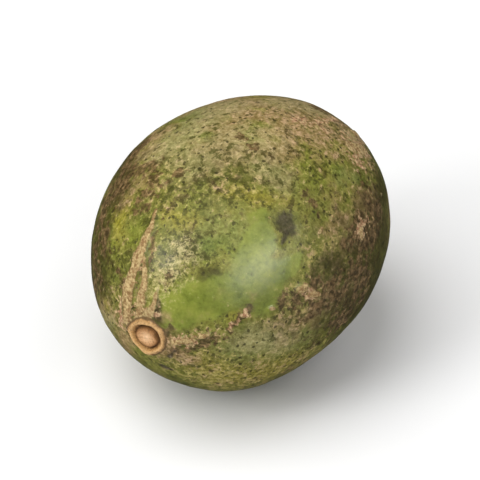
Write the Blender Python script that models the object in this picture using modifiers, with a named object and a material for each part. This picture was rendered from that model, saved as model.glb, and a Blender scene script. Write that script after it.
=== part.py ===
"""Hog plum, a fresh green fruit lying on its side. Metres, +Z up.

The fruit grew as one piece, so it is one solid. Its long axis lies along Y and its round stem scar faces -Y.
It rests on a small flat spot in the plane z = 0, and the origin is under the middle of its box.

The form is turned about the fruit's own long axis, which is local Z until the fruit is laid down, with the stem
scar at the top. Gentle swells then take away the lathe's evenness.
"""

import math

import bpy
from mathutils import Matrix, Vector

# The body, without the collar, the swells or the flat spot
BODY_LENGTH = 0.0458
BREADTH = 0.0372  # side to side
HEIGHT = 0.0362  # top to bottom
FLAT_DEPTH = 0.00038  # how far the resting spot is pressed in

# Stem scar: a low domed plug in a groove, inside a raised corky collar
PLUG_RADIUS = 0.0014
PLUG_RISE = 0.00012
GROOVE_WIDTH = 0.0004
GROOVE_DEPTH = 0.0004
COLLAR_WIDTH = 0.00085
COLLAR_RISE = 0.00035

# Far end: the shallow dimple that the flower left
DIMPLE_RADIUS = 0.0014
DIMPLE_DEPTH = 0.0002

# Gentle swells and flats: degrees round the fruit from the top towards +X, degrees from the middle towards the
# stem, how far the skin stands out, and the angle over which it fades
SWELLS = (
    (132, 5, -0.00055, 19),
    (156, 36, 0.00035, 20),
    (-64, 7, 0.00025, 26),
    (-28, -32, -0.00030, 24),
    (70, -38, 0.00025, 26),
    (-120, -30, -0.00035, 28),
)

ROUND_STEPS = 48  # sides of the turned form
BODY_STEPS = 30  # bands from the collar to the far dimple
PLUG_STEPS = 3
COLLAR_STEPS = 6
DIMPLE_STEPS = 3
MERGE_DISTANCE = 1e-6  # closes the turned form's seam and its two poles

COLLAR_INNER = PLUG_RADIUS + GROOVE_WIDTH
COLLAR_OUTER = COLLAR_INNER + COLLAR_WIDTH

SKIN_COLOUR = (0.26, 0.25, 0.07, 1.0)
SKIN_ROUGHNESS = 0.5


def clear_scene():
    for old in list(bpy.data.objects):
        bpy.data.objects.remove(old, do_unlink=True)


def new_collection(name):
    made = bpy.data.collections.new(name)
    bpy.context.scene.collection.children.link(made)
    return made


def skin_material():
    skin = bpy.data.materials.new("skin")
    skin.use_nodes = True
    shader = skin.node_tree.nodes["Principled BSDF"]
    shader.inputs["Base Color"].default_value = SKIN_COLOUR
    shader.inputs["Roughness"].default_value = SKIN_ROUGHNESS
    shader.inputs["Metallic"].default_value = 0.0
    return skin


def body_height(radius):
    """How high the plain body stands above the middle at this distance from the long axis."""
    return BODY_LENGTH / 2 * math.sqrt(1 - (radius / (HEIGHT / 2)) ** 2)


def scar_points():
    """The scar's outline from its centre out: the domed plug, the groove and the crown of the collar."""
    relief = []
    for step in range(PLUG_STEPS + 1):
        share = step / PLUG_STEPS
        relief.append((PLUG_RADIUS * share, PLUG_RISE * (1 - share**2)))
    relief.append((PLUG_RADIUS + GROOVE_WIDTH / 2, -GROOVE_DEPTH))
    for step in range(COLLAR_STEPS + 1):
        turn = math.pi * step / COLLAR_STEPS
        radius = COLLAR_INNER + COLLAR_WIDTH * (1 - math.cos(turn)) / 2
        relief.append((radius, COLLAR_RISE * math.sin(turn)))
    return [(radius, body_height(radius) + rise) for radius, rise in relief]


def body_points():
    """The body's elliptical outline, between the collar's foot and the rim of the far dimple."""
    start = math.asin(COLLAR_OUTER / (HEIGHT / 2))
    end = math.pi - math.asin(DIMPLE_RADIUS / (HEIGHT / 2))
    points = []
    for step in range(1, BODY_STEPS + 1):
        turn = start + (end - start) * step / BODY_STEPS
        points.append((HEIGHT / 2 * math.sin(turn), BODY_LENGTH / 2 * math.cos(turn)))
    return points


def dimple_points():
    """The far dimple's outline, from inside its rim to the axis."""
    points = []
    for step in range(1, DIMPLE_STEPS + 1):
        share = 1 - step / DIMPLE_STEPS
        radius = DIMPLE_RADIUS * share
        points.append((radius, -body_height(radius) + DIMPLE_DEPTH * (1 - share**2) ** 2))
    return points


def turned_mesh(points):
    """The mesh that a profile of (distance from axis, height) makes when it is turned about Z."""
    outline = bpy.data.meshes.new("outline")
    corners = [(radius, 0, height) for radius, height in points]
    edges = [(first, first + 1) for first in range(len(points) - 1)]
    outline.from_pydata(corners, edges, [])
    profile = bpy.data.objects.new("profile", outline)
    bpy.context.scene.collection.objects.link(profile)
    screw = profile.modifiers.new("turn", "SCREW")
    screw.steps = ROUND_STEPS
    screw.render_steps = ROUND_STEPS
    screw.use_merge_vertices = True
    screw.merge_threshold = MERGE_DISTANCE
    turned = bpy.data.meshes.new_from_object(profile.evaluated_get(bpy.context.evaluated_depsgraph_get()))
    bpy.data.objects.remove(profile, do_unlink=True)
    bpy.data.meshes.remove(outline)
    return turned


def swell_direction(around, toward_stem):
    around, toward_stem = math.radians(around), math.radians(toward_stem)
    level = math.cos(toward_stem)
    return Vector((math.sin(around) * level, math.cos(around) * level, math.sin(toward_stem)))


def shape_by_hand(mesh):
    """Widens the turned form to its breadth, then pushes the skin out or in at each swell."""
    swells = [(swell_direction(around, stem), rise, math.radians(fade)) for around, stem, rise, fade in SWELLS]
    for vertex in mesh.vertices:
        vertex.co.x *= BREADTH / HEIGHT
        outward = vertex.co.normalized()
        vertex.co += outward * sum(
            rise * math.exp(-((outward.angle(direction) / fade) ** 2)) for direction, rise, fade in swells
        )


def box_of(mesh, placed):
    """Lowest and highest corners of the mesh once it is placed."""
    corners = [placed @ vertex.co for vertex in mesh.vertices]
    low = Vector([min(corner[axis] for corner in corners) for axis in range(3)])
    high = Vector([max(corner[axis] for corner in corners) for axis in range(3)])
    return low, high


def make_fruit(collection):
    mesh = turned_mesh(scar_points() + body_points() + dimple_points())
    shape_by_hand(mesh)
    mesh.shade_smooth()
    fruit = bpy.data.objects.new("fruit", mesh)
    collection.objects.link(fruit)
    fruit.data.materials.append(skin_material())
    laid_down = Matrix.Rotation(math.pi / 2, 4, "X")
    low, high = box_of(mesh, laid_down)
    fruit.rotation_euler = laid_down.to_euler()
    fruit.location = (-(low.x + high.x) / 2, -(low.y + high.y) / 2, -low.z - FLAT_DEPTH)
    return fruit


def press_flat(fruit, collection):
    """Cuts the resting spot into the fruit's underside, in the plane z = 0."""
    side = 2 * BODY_LENGTH
    bpy.ops.mesh.primitive_cube_add(size=side, location=(0, 0, -side / 2))
    block = bpy.context.active_object
    block.name = "resting_surface"
    for holder in list(block.users_collection):
        holder.objects.unlink(block)
    collection.objects.link(block)
    block.hide_render = True
    block.display_type = "WIRE"
    cut = fruit.modifiers.new("flat spot", "BOOLEAN")
    cut.operation = "DIFFERENCE"
    cut.solver = "EXACT"
    cut.object = block


clear_scene()
hog_plum = new_collection("hog_plum")
cutters = new_collection("cutters")
press_flat(make_fruit(hog_plum), cutters)
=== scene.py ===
"""The looks of a fresh hog plum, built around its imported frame. Metres, +Z up.

The fruit grew as one piece, so it is one closed surface. Its form follows the frame's box. A mark
on the skin is placed by two angles in degrees: round the fruit from the top towards +X, and from
its middle towards the stem scar, which faces -Y. Sizes on the skin are in millimetres.
"""

import math

import bpy
import numpy as np
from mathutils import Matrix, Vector


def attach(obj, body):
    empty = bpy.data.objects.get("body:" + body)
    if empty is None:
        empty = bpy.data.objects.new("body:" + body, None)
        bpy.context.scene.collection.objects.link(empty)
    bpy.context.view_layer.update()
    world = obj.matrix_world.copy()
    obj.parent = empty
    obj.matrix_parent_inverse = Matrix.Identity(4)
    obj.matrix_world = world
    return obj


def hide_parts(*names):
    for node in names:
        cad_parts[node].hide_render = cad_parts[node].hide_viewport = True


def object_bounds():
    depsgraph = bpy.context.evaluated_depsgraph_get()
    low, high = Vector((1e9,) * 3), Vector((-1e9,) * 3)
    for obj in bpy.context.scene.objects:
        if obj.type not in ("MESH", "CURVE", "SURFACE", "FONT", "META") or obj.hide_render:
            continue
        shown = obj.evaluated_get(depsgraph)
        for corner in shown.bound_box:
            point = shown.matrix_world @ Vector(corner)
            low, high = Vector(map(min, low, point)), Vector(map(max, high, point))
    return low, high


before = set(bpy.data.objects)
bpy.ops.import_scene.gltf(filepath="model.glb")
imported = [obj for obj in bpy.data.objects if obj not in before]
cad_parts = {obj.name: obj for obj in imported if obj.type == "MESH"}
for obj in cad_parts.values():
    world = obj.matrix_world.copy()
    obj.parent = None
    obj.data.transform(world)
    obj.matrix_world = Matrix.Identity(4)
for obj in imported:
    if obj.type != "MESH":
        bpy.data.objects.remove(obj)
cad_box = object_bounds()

MM = 0.001

# Form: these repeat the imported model's own values
FLAT_DEPTH = 0.38
COLLAR_RISE = 0.35
SWELLS = (  # round, toward the stem, millimetres the skin stands out, degrees over which it fades
    (132, 5, -0.55, 19),
    (156, 36, 0.35, 20),
    (-64, 7, 0.25, 26),
    (-28, -32, -0.30, 24),
    (70, -38, 0.25, 26),
    (-120, -30, -0.35, 28),
)

DIMPLE_RADIUS = 1.4  # the far end's dimple
DIMPLE_DEPTH = 0.2

# The surface grid: points round the fruit, and rings from the stem scar to the far end. The rings
# stand closer together near both ends: how close, and over which share of the way
ROUND = 384
RINGS = 256
RING_SAMPLES = 4001
SCAR_SPACING = 0.24
SCAR_ZONE = (0.045, 0.13)
FAR_SPACING = 0.4
FAR_ZONE = 0.06

# Noise: the geometry's table and layers, and the part of a noise texture's range that swing spreads
NOISE_VALUES = 4096
NOISE_PRIMES = (73856093, 19349663, 83492791)
NOISE_LAYERS = 3
NOISE_SPREAD = (0.26, 0.74)

# Fine relief of the skin
WAVES = ((8.0, 3, 0.22), (2.0, 5, 0.06))  # size, seed, height
CORK_RISE = 0.11
CORK_GRAIN = 0.18
SCURF_RISE = 0.05
BRUISE_DEPTH = 0.14

# Height of the stem scar over the body, by distance from its centre
SCAR_EDGE = 2.9
SCAR_STRETCH = 1.12  # it is a little oval
SCAR_LEAN = 32  # degrees of its longer axis from upright towards +X
SCAR_PROFILE = (
    (0.0, -0.04),
    (0.5, -0.02),
    (0.95, 0.08),
    (1.25, 0.13),
    (1.42, 0.06),
    (1.58, -0.26),
    (1.70, -0.30),
    (1.84, -0.10),
    (2.00, 0.20),
    (2.20, 0.35),
    (2.40, 0.33),
    (2.60, 0.15),
    (2.85, 0.02),
    (3.3, 0.0),
)
SCAR_WOBBLES = ((1.9, 21, 0.13), (0.7, 22, 0.10))  # size, seed, share of the distance
SCAR_ROUGHNESS = 0.13

# Marks on the skin: a route of places, and half-widths at its start and its end
CLEAN = (  # the clean green window
    (((30, 78), (39, 66), (47, 56), (57, 45)), 3.0, 3.3),
    (((45, 43), (38, 33), (31, 28)), 2.7, 1.6),
    (((53, 42), (55, 33), (56, 28)), 2.8, 1.2),
)
CORK = (  # raised cork: the two ridges that run up from the scar, then spots
    (((-70, 83), (-42, 77), (-26, 69), (-20, 62)), 1.2, 1.0),
    (((-20, 62), (-18, 56), (-16, 51), (-16, 45)), 0.95, 0.25),
    (((-30, 84), (-16, 77), (-10, 70), (-16, 62)), 1.0, 0.5),
    (((-5, 83), (6, 77), (6, 72)), 0.8, 0.35),
    (((82, 80), (77, 77), (75, 73)), 0.42, 0.65),
    (((74, 70), (73, 67)), 0.45, 0.4),
    (((73, 60), (75, 58)), 0.3, 0.2),
    (((69, 44), (70, 43)), 0.3, 0.2),
    (((68, 31), (69, 29)), 0.62, 0.5),
    (((74, 27), (76, 24)), 0.55, 0.4),
    (((66, 25),), 0.3, 0.3),
    (((38, -36), (42, -40), (45, -46)), 1.2, 0.9),
    (((36, -50), (37, -54)), 0.9, 0.7),
    (((67, -19),), 0.5, 0.5),
    (((66, -9), (68, -7)), 0.45, 0.4),
    (((0, -89),), 0.5, 0.5),
    (((52, 2),), 0.35, 0.35),
    (((52, 10), (53, 12)), 0.35, 0.35),
)
SPLIT = (  # the furrow between the two ridges
    (((-36, 81), (-25, 74), (-18, 68), (-17, 63)), 0.32, 0.2),
)
TAN = (  # pale tan scurf
    (((43, -34), (37, -40), (45, -45), (38, -52)), 2.6, 1.6),
    (((64, -15), (66, -8)), 1.1, 1.2),
    (((20, -38), (23, -50)), 1.0, 0.9),
    (((12, -26), (19, -36)), 1.0, 0.9),
    (((17, -34), (25, -31), (32, -30)), 0.6, 0.5),
    (((84, 80), (78, 75), (75, 71)), 1.2, 1.2),
    (((72, 62), (66, 52)), 0.5, 0.5),
    (((69, 31), (75, 27)), 0.8, 0.8),
    (((-86, 79), (-36, 73), (-20, 60)), 1.5, 0.9),
    (((-60, 80), (-10, 79), (12, 78)), 1.6, 1.2),
    (((84, 74), (73, 66)), 0.7, 0.7),
)
WASH = (  # soft brown and tan washes
    (((-14, -22), (20, -52)), 6.0, 8.0),
    (((-30, -36), (-50, -20)), 4.0, 5.0),
    (((-6, 8), (-8, -14), (2, -34)), 5.0, 5.5),
    (((12, -4), (16, -22), (28, -44)), 5.0, 6.0),
    (((-42, 34), (-42, 5)), 3.4, 3.6),
    (((60, 2), (66, -24)), 3.6, 4.0),
    (((60, 81), (100, 82), (110, 74)), 1.6, 1.6),
    (((-120, 80), (-135, 72)), 2.0, 2.2),
    (((84, 10), (84, 40)), 3.0, 2.4),
    (((-90, 72), (-100, 63)), 1.8, 1.8),
    (((24, 80), (34, 77)), 0.9, 0.9),
)
RUSSET_AND_SHADE = (  # dark russeting, which on the side towards +X is also painted shade
    (((0, -89),), 1.5, 1.5),
    (((-60, -84), (-20, -78)), 0.8, 0.5),
    (((-56, 54), (-62, 38)), 1.9, 1.9),
    (((-27, 45), (-25, 33), (-29, 29)), 1.6, 1.7),
    (((-50, 33), (-38, 26), (-30, 25)), 2.4, 1.7),
    # These four routes, on the side towards +X, are russeting and also painted shade
    (((58, -24), (69, -22), (74, -12), (74, -4)), 2.1, 2.5),
    (((77, 3), (92, -5), (96, 14)), 2.4, 2.8),
    (((73, 24), (82, 12)), 2.0, 2.2),
    (((82, 26), (84, 32)), 2.0, 1.6),
    (((70, 38), (74, 31)), 1.5, 1.8),
    (((-72, 50), (-80, 60), (-103, 56)), 1.9, 2.2),
    (((-36, 73), (-44, 65)), 1.0, 0.8),
    (((22, 80), (12, 74)), 0.7, 0.5),
    (((104, 79), (86, 70), (73, 60), (62, 50)), 1.0, 0.6),
    (((-16, 30), (-10, 26)), 1.0, 0.8),
    (((0, 0), (8, 2)), 1.0, 0.8),
    (((44, 8), (36, 4)), 1.0, 0.9),
    (((68, -26), (64, -10), (66, 2)), 2.0, 1.6),
    (((6, 70), (7, 63)), 0.8, 0.7),
    (((-36, 81), (-25, 74), (-18, 68), (-17, 63)), 0.6, 0.45),
    (((-9, 66), (-12, 58), (-12, 48)), 0.4, 0.45),
    (((40, 83), (56, 80), (92, 82)), 0.8, 0.9),
    (((-64, 40), (-52, 24), (-46, 8)), 2.2, 2.0),
)
DARK = (  # sunken bruises
    (((40, 21), (43, 22)), 1.35, 1.2),
    (((44, 24), (46, 28)), 0.5, 0.25),
    (((163, 76), (153, 74)), 0.5, 0.4),
    (((0, -88),), 0.8, 0.8),
    (((124, 80), (104, 79)), 0.35, 0.3),
)
YELLOW_AND_BOUNCE = (  # yellower skin, and painted bounce light: the first route lightens the lower side
    # Painted bounce light on the lower side, which the floor lights from below
    (((114, 68), (122, 50), (112, 34)), 3.6, 3.0),
    (((48, 38), (58, 46), (64, 56)), 1.8, 1.6),
    (((-41, 43), (-42, 53)), 2.4, 2.0),
    (((-94, 70), (-84, 68)), 1.6, 1.4),
    (((12, 28), (25, 22), (34, 14)), 1.5, 1.3),
    (((-6, 46), (6, 45)), 2.4, 2.4),
)
GREEN = (  # bluer green skin
    (((49, -23), (43, -20), (44, -12)), 1.6, 1.6),
    (((90, 28), (96, 33)), 2.0, 2.2),
    (((94, 62), (91, 50)), 2.8, 2.6),
    (((-39, -10), (-24, -6), (-18, 12)), 2.6, 3.0),
    (((14, 46), (34, 32)), 3.6, 3.0),
)
SHADE_AND_OLIVE_SPOT = (  # painted shade along both sides, on the lower side and beside the scar, and one real olive spot
    (((90, 15), (94, 4), (94, -8)), 4.6, 8.0),
    # A real olive spot in the window; every other route here is painted shade
    (((31, 57), (34, 53)), 0.95, 0.6),
    (((22, 81), (14, 75)), 1.0, 0.8),
    (((124, 4), (138, -6)), 4.0, 8.0),
    (((-88, 46), (-94, 0)), 5.0, 9.0),
    (((70, -4), (74, -22)), 4.2, 4.6),
    (((69, 16), (74, 6)), 2.4, 3.2),
    (((-74, 60), (-58, 42), (-48, 30), (-54, 12)), 3.4, 3.2),
    (((64, -40), (72, -30)), 2.6, 2.6),
)
PALE = (  # a net of pale threads
    (((3, 71), (9, 64), (11, 58)), 2.4, 2.6),
)
WAX_AND_LIGHT = (  # a pale waxy veil, and painted light where the light falls brighter: over the top and both sides of the scar
    (((-30, 18), (-22, 4), (-22, -18)), 3.3, 4.2),
    (((-3, -36), (10, -46)), 3.0, 3.0),
    (((38, -46), (40, -52)), 1.8, 1.8),
    (((-12, 22), (-4, 8), (6, -2)), 3.6, 3.8),
    (((16, 8), (26, 9)), 2.4, 2.4),
    (((84, 54), (92, 42)), 2.6, 2.6),
    (((-104, 72), (-112, 62)), 1.6, 1.8),
)
TAN_CROWD = (  # where tan flecks crowd
    (((-14, 16), (6, -30), (40, -45)), 11.0, 12.0),
    (((-44, 35), (-40, 0)), 6.0, 8.0),
    (((66, -5), (70, 40)), 5.0, 4.5),
    (((0, 64), (-4, 52)), 3.5, 3.5),
    (((-60, 78), (60, 84)), 3.0, 2.0),
    (((100, 74), (125, 60), (124, 30)), 6.0, 8.0),
)
DARK_CROWD_AND_SHADE = (  # where dark specks crowd; the first route, towards +X, is also painted shade
    # Crowded specks that are also painted shade on the side towards +X
    (((80, -10), (84, 18), (82, 34)), 6.2, 4.2),
    (((-12, 34), (6, 18), (34, 2), (42, 0)), 4.5, 4.5),
    (((-60, 66), (-80, 40)), 4.5, 5.0),
    (((4, 64), (12, 52)), 2.4, 2.4),
)

# How far noise moves the edges of the marks: coarse for soft ones, fine for sharp ones
WANDER_SIZE = 2.6
COARSE_SHIFT = 2.2
FINE_SHIFT = 0.8

# One row for each field: its name, the marks in sight, how far their edges move and how soft they
# are, then the wild marks out of sight: count, least and greatest length in degrees, least and
# greatest half-width. The rows stand in the order of the random draws.
SKIN_MARKS = (
    ("clean", CLEAN, COARSE_SHIFT, 0.4, (0, 0, 0, 0, 0)),
    ("cork", CORK, FINE_SHIFT, 0.9, (9, 3, 14, 0.3, 0.6)),
    ("tan", TAN, COARSE_SHIFT, 1.0, (9, 4, 16, 0.7, 1.6)),
    ("wash", WASH, COARSE_SHIFT, 1.0, (6, 8, 24, 2.5, 4.5)),
    ("russet_and_shade", RUSSET_AND_SHADE, COARSE_SHIFT, 1.0, (12, 4, 22, 1.0, 2.6)),
    ("dark", DARK, FINE_SHIFT, 0.9, (7, 0.5, 4, 0.3, 0.7)),
    ("yellow_and_bounce", YELLOW_AND_BOUNCE, COARSE_SHIFT, 1.0, (6, 5, 20, 2.0, 4.0)),
    ("green", GREEN, COARSE_SHIFT, 1.0, (6, 5, 20, 2.5, 5.0)),
    ("shade_and_olive_spot", SHADE_AND_OLIVE_SPOT, COARSE_SHIFT, 1.0, (0, 0, 0, 0, 0)),
    ("pale", PALE, COARSE_SHIFT, 1.0, (4, 3, 10, 1.0, 2.0)),
    ("wax_and_light", WAX_AND_LIGHT, COARSE_SHIFT, 1.0, (5, 6, 20, 2.5, 4.5)),
)
CROWDS = (  # name, places, size and seed of the drift
    ("tan_crowd", TAN_CROWD, 9.0, 11),
    ("dark_crowd_and_shade", DARK_CROWD_AND_SHADE, 7.0, 31),
)

# Wild marks: the sines of the places they start at, how far they lean and bend for their length,
# and how far they face away from the view
WILD_SEED = 7
WILD_ZONE = (-0.97, 0.85)
WILD_LEAN = 0.7
WILD_BEND = 0.2
OUT_OF_SIGHT = -0.03


def colour(red, green, blue):
    return (red, green, blue, 1.0)


# Colours of the skin
GREEN_DEEP = colour(0.070, 0.092, 0.009)
GREEN_LIGHT = colour(0.185, 0.215, 0.022)
GREEN_YELLOW = colour(0.225, 0.24, 0.030)
GREEN_BLUE = colour(0.16, 0.215, 0.050)
YELLOW_GREEN = colour(0.30, 0.26, 0.022)
WINDOW_DEEP = colour(0.115, 0.150, 0.012)
WINDOW_LIGHT = colour(0.25, 0.285, 0.034)
HAZE = colour(0.27, 0.225, 0.065)
TAN_FLECK = colour(0.37, 0.30, 0.09)
TAN_ROSY = colour(0.42, 0.275, 0.15)
WASH_BROWN = colour(0.27, 0.165, 0.075)
WASH_TAN = colour(0.47, 0.32, 0.165)
# Olive for the painted shade, and for one real spot
OLIVE_SHADE_AND_SPOT = colour(0.045, 0.038, 0.004)
DARK_OLIVE = colour(0.062, 0.062, 0.009)
FRECKLE = colour(0.030, 0.025, 0.006)
RUSSET_DARK = colour(0.062, 0.038, 0.012)
RUSSET_LIGHT = colour(0.20, 0.120, 0.05)
TAN_PINK = colour(0.36, 0.175, 0.10)
TAN_PALE = colour(0.52, 0.37, 0.20)
PALE_FLECK = colour(0.50, 0.42, 0.19)
# The pale of the waxy veil, which is also painted light
PALE_WAX_AND_LIGHT = colour(0.40, 0.345, 0.165)
BRUISE_BLACK = colour(0.034, 0.026, 0.014)
BRUISE_GREY = colour(0.135, 0.110, 0.075)
TONE_DARK = colour(0.60, 0.57, 0.38)
TONE_LIGHT = colour(1.46, 1.46, 1.52)
CORK_BROWN = colour(0.26, 0.15, 0.06)
CORK_PALE = colour(0.48, 0.355, 0.165)

# Gloss and bump of the skin
WAXY_ROUGHNESS = 0.40
CORKY_ROUGHNESS = 0.78
COAT = 0.32
COAT_ROUGHNESS = 0.30
SPECULAR = 0.24
BUMP_STRENGTH = 0.8
BUMP_HEIGHT = 0.12

# The floor, the distances over which it fades, and the light of the white room
PAPER = colour(0.86, 0.86, 0.86)
FLOOR_RADIUS = 6.0  # metres
FLOOR_FADE = (80.0, 320.0)
BACKGROUND = 0.95  # where the camera sees it
WORLD_LIGHT = 0.10
WORLD_GLOSS = 0.04

# Rings of the stem scar: distance from its centre, and colour
SCAR_REACH = 4.0
SCAR_RINGS = (
    (0.0, colour(0.88, 0.58, 0.34)),
    (0.6, colour(0.74, 0.44, 0.22)),
    (1.15, colour(0.46, 0.23, 0.09)),
    (1.42, colour(0.24, 0.11, 0.035)),
    (1.60, colour(0.10, 0.045, 0.012)),
    (1.74, colour(0.15, 0.07, 0.02)),
    (1.95, colour(0.50, 0.27, 0.09)),
    (2.20, colour(0.70, 0.43, 0.185)),
    (2.48, colour(0.47, 0.265, 0.10)),
    (2.70, colour(0.14, 0.085, 0.034)),
)

# The view: degrees round the object from -Y towards +X, and above the floor
VIEW_ROUND = 32.5
VIEW_HEIGHT = 41.0
LENS = 300
SENSOR = 36
CLIP_START = 0.01  # metres
FRAME_WIDTH = 64  # millimetres that the picture spans at the fruit


def smoothstep(low, high, value):
    share = np.clip((value - low) / (high - low), 0.0, 1.0)
    return share * share * (3.0 - 2.0 * share)


# ------------------------------------------------------------------ noise


def lattice_noise(points, size, seed):
    """Smooth noise from 0 to 1, with lumps about size across."""
    table = np.random.default_rng(seed).random(NOISE_VALUES)
    place = points / size
    cell = np.floor(place).astype(np.int64)
    share = place - cell
    share = share**3 * (share * (share * 6.0 - 15.0) + 10.0)
    total = np.zeros(len(points))
    for corner in range(8):
        step = np.array((corner & 1, corner >> 1 & 1, corner >> 2))
        key = (cell + step) @ np.array(NOISE_PRIMES)
        weight = np.prod(np.where(step, share, 1.0 - share), axis=1)
        total += weight * table[(key ^ key >> 13) & (NOISE_VALUES - 1)]
    return total


def layered_noise(points, size, seed):
    """Layers of noise from 0 to 1, each half as large and half as strong as the one before."""
    total = sum(
        lattice_noise(points, size / 2**layer, seed + layer) / 2**layer
        for layer in range(NOISE_LAYERS)
    )
    return total / (2.0 - 2.0 ** (1 - NOISE_LAYERS))


# ------------------------------------------------------------------ form


def direction(around, toward_stem):
    """The direction of a place on the skin from the middle of the fruit."""
    around, toward_stem = math.radians(around), math.radians(toward_stem)
    level = math.cos(toward_stem)
    return np.array((math.sin(around) * level, -math.sin(toward_stem), math.cos(around) * level))


def view_direction(around, above):
    """The direction from the middle of the fruit at the kind of angles that the view has."""
    around, above = math.radians(around), math.radians(above)
    level = math.cos(above)
    return np.array((math.sin(around) * level, -math.cos(around) * level, math.sin(above)))


class Body:
    """The plain oval in the frame's box, in millimetres from its own middle."""

    def __init__(self, box):
        low, high = (np.array(corner) / MM for corner in box)
        self.half = (high - low + np.array((0.0, -COLLAR_RISE, FLAT_DEPTH))) / 2
        self.middle = high - self.half

    def place(self, around, toward_stem):
        ray = direction(around, toward_stem)
        return ray / np.linalg.norm(ray / self.half)


def ring_turns():
    """The rings' angles from the stem pole to the far pole, closest together over the scar."""
    way = np.linspace(0.0, 1.0, RING_SAMPLES)
    spacing = SCAR_SPACING + (1.0 - SCAR_SPACING) * smoothstep(*SCAR_ZONE, way)
    spacing *= FAR_SPACING + (1.0 - FAR_SPACING) * smoothstep(0.0, FAR_ZONE, 1.0 - way)
    count = np.concatenate(((0.0,), np.cumsum(1.0 / spacing[1:])))
    return math.pi * np.interp(np.linspace(0.0, 1.0, RINGS + 1), count / count[-1], way)


def oval_points(body):
    """The points of the plain oval, the stem pole first and the far pole last."""
    steps = np.arange(ROUND) * math.tau / ROUND
    rings, steps = np.meshgrid(ring_turns()[1:-1], steps, indexing="ij")
    turn = np.concatenate(((0.0,), rings.ravel(), (math.pi,)))
    around = np.concatenate(((0.0,), steps.ravel(), (0.0,)))
    out = np.sin(turn)
    return np.stack((out * np.sin(around), -np.cos(turn), out * np.cos(around)), axis=1) * body.half


def oval_faces():
    """Quads between the rings, and a fan of triangles at each pole."""
    steps = range(ROUND)
    after = [(step + 1) % ROUND for step in steps]
    last = 1 + (RINGS - 1) * ROUND
    faces = [(0, 1 + step, 1 + after[step]) for step in steps]
    for ring in range(RINGS - 2):
        near = 1 + ring * ROUND
        far = near + ROUND
        faces += [
            (near + step, far + step, far + after[step], near + after[step]) for step in steps
        ]
    faces += [(last, last - ROUND + after[step], last - ROUND + step) for step in steps]
    return faces


# ------------------------------------------------------------------ marks


def route_distance(points, places, start_width, end_width):
    """Each point's distance from the line through the places, in half-widths."""
    if len(places) == 1:
        return np.linalg.norm(points - places[0], axis=1) / start_width
    lengths = [np.linalg.norm(end - start) for start, end in zip(places[:-1], places[1:])]
    nearest = np.full(len(points), np.inf)
    passed = 0.0
    for start, end, length in zip(places[:-1], places[1:], lengths):
        run = end - start
        share = np.clip((points - start) @ run / (run @ run), 0.0, 1.0)
        distance = np.linalg.norm(points - start - share[:, None] * run, axis=1)
        along = (passed + share * length) / sum(lengths)
        nearest = np.minimum(nearest, distance / (start_width + (end_width - start_width) * along))
        passed += length
    return nearest


def marked(points, body, marks, soften):
    """1 inside the marks, 0 outside, blending over soften half-widths to each side of the edge."""
    field = np.zeros(len(points))
    for route, start_width, end_width in marks:
        places = [body.place(*place) for place in route]
        distance = route_distance(points, places, start_width, end_width)
        field = np.maximum(field, 1.0 - smoothstep(1.0 - soften, 1.0 + soften, distance))
    return field


def wild_marks(rng, count, shortest, longest, thinnest, thickest):
    """Marks at random places that the view doesn't reach. Each runs roughly along the fruit."""
    to_camera = view_direction(VIEW_ROUND, VIEW_HEIGHT)
    made = []
    while len(made) < count:
        around = rng.uniform(-180, 180)
        toward_stem = math.degrees(math.asin(rng.uniform(*WILD_ZONE)))
        length, lean = rng.uniform(shortest, longest), rng.uniform(-WILD_LEAN, WILD_LEAN)
        widths = rng.uniform(thinnest, thickest, 2)
        bend = rng.uniform(-WILD_BEND, WILD_BEND) * length
        middle = (around + lean * length / 2 + bend, toward_stem + length / 2)
        end = (around + lean * length, toward_stem + length)
        route = ((around, toward_stem), middle, end)
        if max(direction(*place) @ to_camera for place in route) < OUT_OF_SIGHT:
            made.append((route, *widths))
    return tuple(made)


def crowd_field(points, ragged, body, hidden, marks, size, seed):
    """How thickly specks stand: placed where the view reaches, drifting with noise elsewhere."""
    drift = smoothstep(0.36, 0.66, layered_noise(points, size, seed))
    placed = marked(ragged, body, marks, 0.8)
    shown = placed * (0.3 + 0.2 * drift) + 0.3 + 0.25 * drift
    return shown * (1.0 - hidden) + (0.15 + 0.8 * drift) * hidden


def skin_fields(points, body):
    """How much of each kind of mark every point of the skin has, from 0 to 1."""
    rng = np.random.default_rng(WILD_SEED)
    noises = [layered_noise(points, WANDER_SIZE, 40 + axis * 7) for axis in range(3)]
    wander = np.stack(noises, axis=1) - 0.5
    ragged = points + COARSE_SHIFT * wander
    fine = points + FINE_SHIFT * wander
    fields = {}
    for name, marks, shift, soften, wild in SKIN_MARKS:
        moved = fine if shift == FINE_SHIFT else ragged
        fields[name] = marked(moved, body, marks + wild_marks(rng, *wild), soften)
    fields["cork"] *= 1.0 - 0.9 * marked(fine, body, SPLIT, 0.7)
    facing = points / np.linalg.norm(points, axis=1)[:, None]
    hidden = smoothstep(0.15, -0.25, facing @ view_direction(VIEW_ROUND, VIEW_HEIGHT))
    for name, marks, size, seed in CROWDS:
        crowd = crowd_field(points, ragged, body, hidden, marks, size, seed)
        fields[name] = crowd * (1.0 - 0.95 * fields["clean"])
    return fields


# ------------------------------------------------------------------ relief


def swell_shift(points):
    """How far the swells move each point."""
    outward = points / np.linalg.norm(points, axis=1)[:, None]
    height = np.zeros(len(points))
    for around, stem, rise, fade in SWELLS:
        angle = np.degrees(np.arccos(np.clip(outward @ direction(around, stem), -1.0, 1.0)))
        height += rise * np.exp(-((angle / fade) ** 2))
    return outward * height[:, None]


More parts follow.
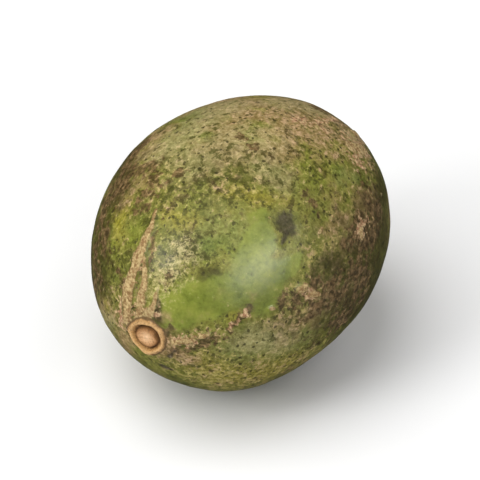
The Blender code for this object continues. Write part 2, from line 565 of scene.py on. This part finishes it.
def skin_relief(points, fields):
    """Low waves in the skin, raised cork and scurf, and sunken bruises."""
    relief = np.zeros(len(points))
    for size, seed, height in WAVES:
        relief += height * (layered_noise(points, size, seed) - 0.5)
    ragged_cork = fields["cork"] + 0.7 * (layered_noise(points, 0.9, 8) - 0.5)
    corky = smoothstep(0.25, 0.85, ragged_cork)
    relief += corky * (CORK_RISE + CORK_GRAIN * lattice_noise(points, 0.7, 9))
    relief += fields["tan"] * SCURF_RISE * lattice_noise(points, 0.9, 10)
    return relief - BRUISE_DEPTH * fields["dark"]


def scar_reach(points):
    """Distance from the centre of the stem scar, which is a little oval and uneven."""
    lean = math.radians(SCAR_LEAN)
    across = points[:, 0] * math.cos(lean) - points[:, 2] * math.sin(lean)
    along = points[:, 0] * math.sin(lean) + points[:, 2] * math.cos(lean)
    wobble = sum(
        share * (lattice_noise(points, size, seed) - 0.5) for size, seed, share in SCAR_WOBBLES
    )
    return np.hypot(across, along / SCAR_STRETCH) * (1.0 + wobble)


def sculpt(points, body, fields):
    """Moves the skin out and in: swells, the scar, corky relief and the flat it rests on."""
    at_stem = points[:, 1] < 0
    reach = scar_reach(points)
    fields["scar"] = np.where(at_stem, np.minimum(reach / SCAR_REACH, 1.0), 1.0)
    keep = np.where(at_stem, smoothstep(SCAR_EDGE - 0.4, SCAR_EDGE + 1.0, reach), 1.0)
    rough = SCAR_ROUGHNESS * (1.0 - keep) * (layered_noise(points, 0.8, 23) - 0.5)
    uneven = 0.6 + 0.75 * lattice_noise(points, 1.5, 24)
    scar_height = np.interp(reach, *zip(*SCAR_PROFILE)) * uneven
    sunk = np.clip(1.0 - (points[:, 0] ** 2 + points[:, 2] ** 2) / DIMPLE_RADIUS**2, 0.0, 1.0)
    relief = skin_relief(points, fields) * keep + rough
    relief += np.where(at_stem, scar_height, -DIMPLE_DEPTH * sunk**2)
    normal = points / body.half**2
    normal /= np.linalg.norm(normal, axis=1)[:, None]
    shaped = points + swell_shift(points) + normal * relief[:, None] + body.middle
    shaped[:, 2] = np.maximum(shaped[:, 2], 0.0)
    return shaped


def make_fruit(body):
    points = oval_points(body)
    fields = skin_fields(points, body)
    shaped = sculpt(points, body, fields) * MM
    mesh = bpy.data.meshes.new("hog_plum")
    mesh.from_pydata(shaped.tolist(), [], oval_faces())
    for name, field in fields.items():
        attribute = mesh.attributes.new(name, "FLOAT", "POINT")
        attribute.data.foreach_set("value", field.astype(np.float32))
    mesh.shade_smooth()
    fruit = bpy.data.objects.new("hog_plum", mesh)
    bpy.context.scene.collection.objects.link(fruit)
    return fruit


# ------------------------------------------------------------------ material


class Weave:
    """Short ways to add shader nodes to a material."""

    def __init__(self, name):
        self.material = bpy.data.materials.new(name)
        self.material.use_nodes = True
        self.tree = self.material.node_tree
        self.shader = self.tree.nodes["Principled BSDF"]
        place = self.node("ShaderNodeTexCoord").outputs["Object"]
        self.place = self.scaled(place, 1 / MM)

    def node(self, kind, **settings):
        made = self.tree.nodes.new(kind)
        for name, value in settings.items():
            setattr(made, name, value)
        return made

    def feed(self, socket, value):
        if isinstance(value, bpy.types.NodeSocket):
            self.tree.links.new(value, socket)
        else:
            socket.default_value = value

    def shade(self, **values):
        """Sets the shader's own sockets, named with _ for each space."""
        for name, value in values.items():
            self.feed(self.shader.inputs[name.replace("_", " ")], value)

    def vector(self, operation, first, second):
        made = self.node("ShaderNodeVectorMath", operation=operation)
        self.feed(made.inputs[0], first)
        self.feed(made.inputs[1], second)
        return made.outputs[0]

    def scaled(self, vector, factor):
        made = self.node("ShaderNodeVectorMath", operation="SCALE")
        self.feed(made.inputs[0], vector)
        self.feed(made.inputs["Scale"], factor)
        return made.outputs[0]

    def math(self, operation, first, second=0.0, clamp=False):
        made = self.node("ShaderNodeMath", operation=operation, use_clamp=clamp)
        self.feed(made.inputs[0], first)
        self.feed(made.inputs[1], second)
        return made.outputs[0]

    def add(self, *values):
        total = values[0]
        for value in values[1:]:
            total = self.math("ADD", total, value)
        return total

    def times(self, first, second):
        return self.math("MULTIPLY", first, second)

    def step(self, low, high, value, to_low=0.0, to_high=1.0):
        """Goes smoothly from to_low to to_high as the value goes from low to high."""
        made = self.node("ShaderNodeMapRange", interpolation_type="SMOOTHSTEP")
        for socket, given in zip(made.inputs, (value, low, high, to_low, to_high)):
            self.feed(socket, given)
        return made.outputs[0]

    def mix(self, share, first, second, blend="MIX"):
        made = self.node("ShaderNodeMix", data_type="RGBA", blend_type=blend)
        self.feed(made.inputs["Factor"], share)
        self.feed(made.inputs[6], first)
        self.feed(made.inputs[7], second)
        return made.outputs[2]

    def field(self, name):
        return self.node("ShaderNodeAttribute", attribute_name=name).outputs["Fac"]

    def noise(self, size, detail, rough=0.55, place=None, seed=0.0):
        """A noise texture whose lumps are about size millimetres across."""
        made = self.node("ShaderNodeTexNoise", noise_dimensions="4D")
        self.feed(made.inputs["Vector"], place or self.place)
        self.feed(made.inputs["W"], seed)
        self.feed(made.inputs["Scale"], 1.0 / size)
        self.feed(made.inputs["Detail"], detail)
        self.feed(made.inputs["Roughness"], rough)
        return made

    def swing(self, *given, **settings):
        """The same noise, spread out to run from -1 to 1."""
        made = self.node("ShaderNodeMapRange", clamp=True)
        noise = self.noise(*given, **settings).outputs["Fac"]
        for socket, value in zip(made.inputs, (noise, *NOISE_SPREAD, -1.0, 1.0)):
            self.feed(socket, value)
        return made.outputs[0]

    def broken(self, field, swing, cover, reach, soft=0.12):
        """A field made ragged by noise. Where it is 1, gaps open if reach is over cover."""
        level = self.add(self.times(field, 1.0 + cover), -1.0, self.times(swing, reach))
        return self.step(-soft, soft, level)

    def warped(self, size, amount):
        """The place moved about by noise, so that what is drawn there gets ragged edges."""
        centred = self.vector("SUBTRACT", self.noise(size, 2.0).outputs["Color"], (0.5, 0.5, 0.5))
        return self.vector("ADD", self.scaled(centred, amount), self.place)

    def dots(self, size, place, smallest, largest):
        """Dots of uneven size, one in most cells."""
        cell = self.node("ShaderNodeTexVoronoi", feature="F1")
        self.feed(cell.inputs["Vector"], place)
        self.feed(cell.inputs["Scale"], 1.0 / size)
        chance = self.node("ShaderNodeSeparateColor")
        self.feed(chance.inputs[0], cell.outputs["Color"])
        radius = self.step(0.2, 1.0, chance.outputs[0], smallest, largest)
        return self.step(0.0, 0.12, self.math("SUBTRACT", radius, cell.outputs["Distance"]))


class Skin(Weave):
    """The fruit's skin. Each lay method lays one kind of mark over the colour so far."""

    def __init__(self):
        super().__init__("hog_plum_skin")
        names = [name for name, *_ in SKIN_MARKS + CROWDS] + ["scar"]
        self.marks = {name: self.field(name) for name in names}
        self.ragged = self.warped(0.9, 0.6)
        curly = self.warped(2.5, 2.4)
        self.broad = self.swing(7.0, 2.0, 0.5, seed=1.0)
        self.patchy = self.swing(2.4, 4.0, 0.6, curly, seed=2.0)
        self.mottle = self.swing(0.9, 4.0, 0.65, self.ragged, seed=3.0)
        self.specks = self.swing(0.85, 3.0, 0.65, self.ragged, seed=4.0)
        self.flecks = self.swing(0.7, 4.0, 0.7, self.ragged, seed=5.0)
        self.fine = self.swing(0.38, 3.0, 0.65, seed=6.0)
        self.grain = self.swing(0.18, 2.0, 0.6, seed=7.0)
        self.strands = self.swing(1.0, 3.0, 0.7, self.ragged, seed=8.0)

    def lay(self, share, over):
        self.colour = self.mix(share, self.colour, over)

    def find_window(self):
        """The clean green window, and the skin outside it."""
        uneven = self.add(self.times(self.mottle, 0.5), self.times(self.patchy, 0.5))
        self.clean = self.broken(self.marks["clean"], uneven, 0.5, 0.8, 0.5)
        self.open_skin = self.math("SUBTRACT", 1.0, self.times(self.clean, 0.86), clamp=True)

    def lay_ground(self):
        """Green, from the darkest green through yellowish green, and the clear green of the window.
        """
        light = self.step(-1.0, 0.8, self.add(self.broad, self.times(self.mottle, 0.9)))
        self.colour = self.mix(light, GREEN_DEEP, GREEN_LIGHT)
        self.lay(self.step(-0.1, 0.8, self.patchy), GREEN_YELLOW)
        # The yellower tint is also painted bounce light on the lower side
        for name, tint in (("green", GREEN_BLUE), ("yellow_and_bounce", YELLOW_GREEN)):
            zone = self.broken(self.marks[name], self.mottle, 0.4, 0.8, 0.5)
            self.lay(self.times(zone, 0.75), tint)
        cloudy = self.add(self.broad, self.times(self.patchy, 0.5), self.times(self.mottle, 0.3))
        window = self.mix(self.step(-0.8, 0.8, cloudy), WINDOW_DEEP, WINDOW_LIGHT)
        self.lay(self.times(self.clean, 0.9), window)

    def lay_haze(self):
        """Tan haze, brown washes, a net of tan flecks, and the pale waxy veil, which is also
        painted light.
        """
        crowd = self.marks["tan_crowd"]
        haze = self.step(-0.9, 0.7, self.add(self.patchy, self.times(crowd, 0.8)))
        self.lay(self.times(self.times(haze, 0.4), self.open_skin), HAZE)
        wash = self.broken(self.marks["wash"], self.patchy, 0.4, 0.9, 0.8)
        self.wash = self.times(wash, 0.75)
        self.lay(self.wash, self.mix(self.step(-0.5, 0.6, self.mottle), WASH_BROWN, WASH_TAN))
        cover = self.add(self.times(crowd, 0.6), 0.24, self.times(self.marks["green"], -0.22))
        self.net = self.broken(cover, self.flecks, 0.1, 0.95, 0.25)
        rosy = self.step(-0.3, 0.6, self.add(self.patchy, self.times(self.marks["wash"], 0.6)))
        self.lay(self.times(self.net, 0.75), self.mix(rosy, TAN_FLECK, TAN_ROSY))
        # The pale waxy veil, also painted light where the light falls brighter
        uneven = self.add(self.times(self.patchy, 0.6), self.times(self.mottle, 0.5))
        self.veil = self.broken(self.marks["wax_and_light"], uneven, 0.7, 0.8, 0.8)
        self.lay(self.times(self.veil, 0.52), PALE_WAX_AND_LIGHT)

    def lay_speckle(self):
        """Painted shade in olive, dark mottling that thins under the veil, freckles and pale pores.
        """
        # Dark specks crowd, and towards +X they also paint shade
        crowd = self.marks["dark_crowd_and_shade"]
        # Painted shade: olive laid along the sides, on the lower side and beside the scar, and one
        # real spot
        self.shade_and_olive_spot = self.times(self.broken(self.marks["shade_and_olive_spot"], self.patchy, 0.7, 0.8, 0.8), 0.85)
        self.lay(self.shade_and_olive_spot, OLIVE_SHADE_AND_SPOT)
        dark_skin = self.mix(self.step(-0.2, 0.9, self.patchy), DARK_OLIVE, RUSSET_DARK)
        cover = self.add(self.times(crowd, 0.5), 0.37)
        dense = self.times(self.broken(cover, self.mottle, 0.1, 0.95, 0.3), self.open_skin)
        dense = self.times(dense, self.step(0.0, 1.0, self.veil, 1.0, 0.55))
        self.lay(self.times(dense, 0.85), dark_skin)
        cover = self.add(self.times(crowd, 0.35), 0.44)
        self.sooty = self.times(self.broken(cover, self.specks, 0.0, 0.95, 0.15), self.open_skin)
        self.lay(self.times(self.sooty, 0.8), dark_skin)
        self.freckles = self.times(self.dots(0.8, self.ragged, -0.15, 0.36), self.open_skin)
        self.lay(self.times(self.freckles, 0.8), FRECKLE)
        self.lay(self.times(self.dots(1.0, self.place, -0.1, 0.2), 0.3), PALE_FLECK)

    def lay_scurf(self):
        """Brown russeting, which towards +X is also painted shade, and tan scurf."""
        self.russet_and_shade = self.broken(self.marks["russet_and_shade"], self.mottle, 0.35, 1.0, 0.3)
        brown = self.mix(self.step(-0.5, 0.7, self.flecks), RUSSET_DARK, RUSSET_LIGHT)
        self.lay(self.times(self.russet_and_shade, 0.85), brown)
        self.tan = self.broken(self.marks["tan"], self.flecks, 0.25, 1.0, 0.3)
        tan = self.mix(self.step(-0.6, 0.6, self.fine), TAN_PINK, TAN_PALE)
        self.lay(self.times(self.tan, 0.85), tan)

    def lay_net_and_bruises(self):
        """Pale threads, then sunken bruises."""
        strands = self.step(0.5, 0.0, self.math("ABSOLUTE", self.strands), -1.0, 1.0)
        netted = self.add(
            self.times(strands, 0.4), self.times(self.flecks, 0.45), self.times(self.fine, 0.35)
        )
        pale = self.broken(self.marks["pale"], netted, 0.0, 1.0, 0.5)
        self.lay(self.times(pale, 0.62), PALE_FLECK)
        self.bruise = self.broken(self.marks["dark"], self.flecks, 0.8, 0.6, 0.6)
        grey = self.mix(self.step(-0.2, 0.9, self.mottle), BRUISE_BLACK, BRUISE_GREY)
        self.lay(self.times(self.bruise, 0.85), grey)

    def lay_cork(self):
        """Raised cork with a dark rim."""
        rim = self.broken(self.marks["cork"], self.flecks, 0.9, 0.9, 0.3)
        self.lay(self.times(rim, 0.5), RUSSET_DARK)
        uneven = self.add(self.times(self.flecks, 0.6), self.times(self.mottle, 0.4))
        self.cork = self.broken(self.marks["cork"], uneven, 0.5, 0.6, 0.3)
        light = self.step(-0.7, 0.6, self.add(self.fine, self.times(self.mottle, 0.5)))
        self.lay(self.cork, self.mix(light, CORK_BROWN, CORK_PALE))

    def lay_tone(self):
        """Fine light and dark over all of it."""
        swing = self.add(self.times(self.flecks, 0.7), self.times(self.fine, 0.5))
        tone = self.mix(self.step(-0.9, 0.9, swing), TONE_DARK, TONE_LIGHT)
        share = self.add(0.25, self.times(self.open_skin, 0.75), self.times(self.cork, -0.4))
        self.colour = self.mix(share, self.colour, tone, blend="MULTIPLY")

    def lay_scar(self):
        """The rings of the stem scar, by distance from its centre."""
        reach = self.marks["scar"]
        rings = self.node("ShaderNodeValToRGB")
        uneven = self.add(reach, self.times(self.fine, 0.032), self.times(self.mottle, 0.028))
        self.feed(rings.inputs[0], uneven)
        stops = rings.color_ramp.elements
        while len(stops) < len(SCAR_RINGS):
            stops.new(1.0)
        for stop, (distance, shade) in zip(stops, SCAR_RINGS):
            stop.position = distance / SCAR_REACH
            stop.color = shade
        brown = self.times(self.step(-0.2, 0.9, self.fine), 0.4)
        dark = self.times(self.step(0.0, 0.9, self.grain), 0.4)
        scar = self.mix(dark, self.mix(brown, rings.outputs[0], CORK_BROWN), RUSSET_DARK)
        edge = self.add(reach, self.times(self.flecks, 0.02))
        outer, inner = ((SCAR_EDGE + side) / SCAR_REACH for side in (0.15, -0.15))
        self.on_scar = self.step(outer, inner, edge)
        self.lay(self.on_scar, scar)

    def set_gloss(self):
        """Waxy skin, glossiest on the window, and dull cork and scurf."""
        dull = self.add(
            self.cork,
            self.on_scar,
            self.times(self.russet_and_shade, 0.4),
            self.times(self.tan, 0.5),
            self.times(self.wash, 0.2),
            self.times(self.net, 0.2),
            self.times(self.sooty, 0.2),
            self.times(self.bruise, 0.6),
            self.times(self.shade_and_olive_spot, 0.35),
        )
        rough = self.step(0.0, 1.0, dull, WAXY_ROUGHNESS, CORKY_ROUGHNESS)
        coat = self.add(
            COAT, self.times(self.clean, 0.50), self.times(dull, -COAT), self.times(self.cork, -0.5)
        )
        self.shade(
            Roughness=self.add(rough, self.times(self.fine, 0.07)),
            Coat_Weight=self.math("MAXIMUM", coat, 0.0),
            Coat_Roughness=COAT_ROUGHNESS,
            Specular_IOR_Level=SPECULAR,
        )

    def set_bump(self):
        corky = self.math("MAXIMUM", self.cork, self.on_scar)
        height = self.add(
            self.times(self.flecks, 0.14),
            self.times(self.fine, 0.16),
            self.times(self.net, 0.10),
            self.times(self.freckles, -0.10),
            self.times(self.sooty, 0.12),
            self.times(self.times(self.grain, corky), 0.4),
        )
        bump = self.node("ShaderNodeBump")
        self.feed(bump.inputs["Strength"], BUMP_STRENGTH)
        self.feed(bump.inputs["Distance"], BUMP_HEIGHT * MM)
        self.feed(bump.inputs["Height"], height)
        self.shade(Normal=bump.outputs[0])


def skin_material():
    skin = Skin()
    skin.find_window()
    skin.lay_ground()
    skin.lay_haze()
    skin.lay_speckle()
    skin.lay_scurf()
    skin.lay_net_and_bruises()
    skin.lay_cork()
    skin.lay_tone()
    skin.lay_scar()
    skin.shade(Base_Color=skin.colour)
    skin.set_gloss()
    skin.set_bump()
    return skin.material


# ------------------------------------------------------------------ floor, light and camera


def floor_material():
    """Pale paper that fades to the background's white, so that no horizon shows."""
    weave = Weave("floor_paper")
    away = weave.node("ShaderNodeVectorMath", operation="LENGTH")
    weave.feed(away.inputs[0], weave.place)
    fade = weave.step(*FLOOR_FADE, away.outputs["Value"])
    weave.shade(
        Base_Color=weave.mix(fade, PAPER, colour(0.0, 0.0, 0.0)),
        Roughness=0.9,
        Specular_IOR_Level=0.0,
        Emission_Color=colour(1.0, 1.0, 1.0),
        Emission_Strength=weave.times(fade, BACKGROUND),
    )
    return weave.material


def make_floor():
    bpy.ops.mesh.primitive_circle_add(vertices=96, radius=FLOOR_RADIUS, fill_type="NGON")
    floor = bpy.context.active_object
    floor.name = "floor"
    floor.data.materials.append(floor_material())
    floor.visible_glossy = False


def put(thing, middle, around, above, away):
    """Puts a light or the camera at these angles from the middle of the fruit, aimed at it."""
    thing.location = middle + Vector(view_direction(around, above)) * away
    thing.rotation_euler = (middle - thing.location).to_track_quat("-Z", "Y").to_euler()


def make_light(
    name, middle, around, above, away, size, watts, stretch=1.0, roll=0, gloss=True, diffuse=True
):
    """A soft elliptical light. It can light only the gloss, or everything but the gloss."""
    lamp = bpy.data.lights.new(name, "AREA")
    lamp.shape = "ELLIPSE"
    lamp.size = size
    lamp.size_y = size * stretch
    lamp.energy = watts
    light = bpy.data.objects.new(name, lamp)
    bpy.context.scene.collection.objects.link(light)
    put(light, middle, around, above, away)
    light.rotation_euler.rotate_axis("Z", math.radians(roll))
    light.visible_camera = False
    light.visible_glossy = gloss
    light.visible_diffuse = diffuse


def make_world():
    """White where the camera sees it, a weak even light on the skin, weaker in its gloss."""
    world = bpy.data.worlds.new("studio")
    bpy.context.scene.world = world
    world.use_nodes = True
    tree = world.node_tree
    background = tree.nodes["Background"]
    background.inputs["Color"].default_value = colour(1.0, 1.0, 1.0)
    ray = tree.nodes.new("ShaderNodeLightPath")
    strength = tree.nodes.new("ShaderNodeMapRange")
    strength.inputs["To Min"].default_value = WORLD_LIGHT
    strength.inputs["To Max"].default_value = BACKGROUND
    tree.links.new(ray.outputs["Is Camera Ray"], strength.inputs["Value"])
    dimmed = tree.nodes.new("ShaderNodeMath")
    dimmed.operation = "MULTIPLY_ADD"
    dimmed.inputs[1].default_value = WORLD_GLOSS - WORLD_LIGHT
    tree.links.new(ray.outputs["Is Glossy Ray"], dimmed.inputs[0])
    tree.links.new(strength.outputs[0], dimmed.inputs[2])
    tree.links.new(dimmed.outputs[0], background.inputs["Strength"])


def make_camera(middle):
    lens = bpy.data.cameras.new("camera")
    lens.lens = LENS
    lens.sensor_width = SENSOR
    lens.clip_start = CLIP_START
    camera = bpy.data.objects.new("camera", lens)
    bpy.context.scene.collection.objects.link(camera)
    put(camera, middle, VIEW_ROUND, VIEW_HEIGHT, FRAME_WIDTH * MM * LENS / SENSOR)
    bpy.context.scene.camera = camera


middle = (Vector(cad_box[0]) + Vector(cad_box[1])) / 2
fruit = make_fruit(Body(cad_box))
fruit.data.materials.append(skin_material())
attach(fruit, "root")
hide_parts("fruit")
make_floor()
make_world()
make_light("key_left", middle, -26, 34, 0.9, 0.4, 3.1)
make_light("key_right", middle, 72, 32, 0.9, 0.42, 4.6, stretch=1.9, roll=-80, diffuse=False)
make_light("fill_right", middle, 62, 40, 0.9, 0.8, 2.5, gloss=False)
make_light("top", middle, 308, 69, 1.4, 1.5, 18.5, gloss=False)
make_light("back", middle, 150, 50, 1.4, 1.0, 3.5, gloss=False)
make_camera(middle)
bpy.context.scene.view_settings.view_transform = "Standard"
